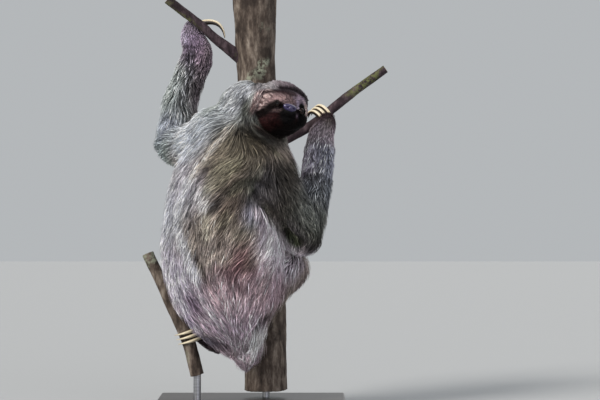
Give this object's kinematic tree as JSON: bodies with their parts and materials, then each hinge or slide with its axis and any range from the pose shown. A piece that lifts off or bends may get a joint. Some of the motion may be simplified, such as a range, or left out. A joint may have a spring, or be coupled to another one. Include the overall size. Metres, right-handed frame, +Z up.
{
  "type": "three-toed sloth model",
  "caption": "Life-size still model of a three-toed sloth hugging a slim tree stem, head turned back over its shoulder, on a flat display stand.",
  "frame": {"origin": "centre of the underside of the display base", "axes": "+Z up along the tree stem; -Y is the side that the sloth's back and face are turned to; +X is its right"},
  "size_m": [0.3899, 0.28, 0.6691],
  "materials": {
    "coat": "long coarse fur, matt",
    "face_coat": "short smooth fur",
    "eye": "wet gloss",
    "nose": "bare damp skin",
    "claw": "horn, satin",
    "bark": "rough bark with lichen",
    "stand_wood": "dark stained, satin",
    "stand_steel": "brushed"
  },
  "bodies": {
    "root": {"neck": "coat", "chest": "coat", "loin": "coat", "rump": "coat", "tail": "coat", "upper_arm_left": "coat", "upper_arm_right": "coat", "forearm_left": "coat", "forearm_right": "coat", "hand_left": "coat", "hand_right": "coat", "thigh_left": "coat", "thigh_right": "coat", "shank_left": "coat", "shank_right": "coat", "foot_left": "coat", "foot_right": "coat", "head": "face_coat", "eye_left": "eye", "eye_right": "eye", "nose": "nose", "claw_hand_left_1": "claw", "claw_hand_left_2": "claw", "claw_hand_left_3": "claw", "claw_hand_right_1": "claw", "claw_hand_right_2": "claw", "claw_hand_right_3": "claw", "claw_foot_left_1": "claw", "claw_foot_left_2": "claw", "claw_foot_left_3": "claw", "claw_foot_right_1": "claw", "claw_foot_right_2": "claw", "claw_foot_right_3": "claw", "perch_stem": "bark", "perch_limb_upper": "bark", "perch_limb_right": "bark", "perch_limb_low": "bark", "stand_base": "stand_wood", "stand_rod_stem": "stand_steel", "stand_rod_limb": "stand_steel"}
  },
  "joints": []
}
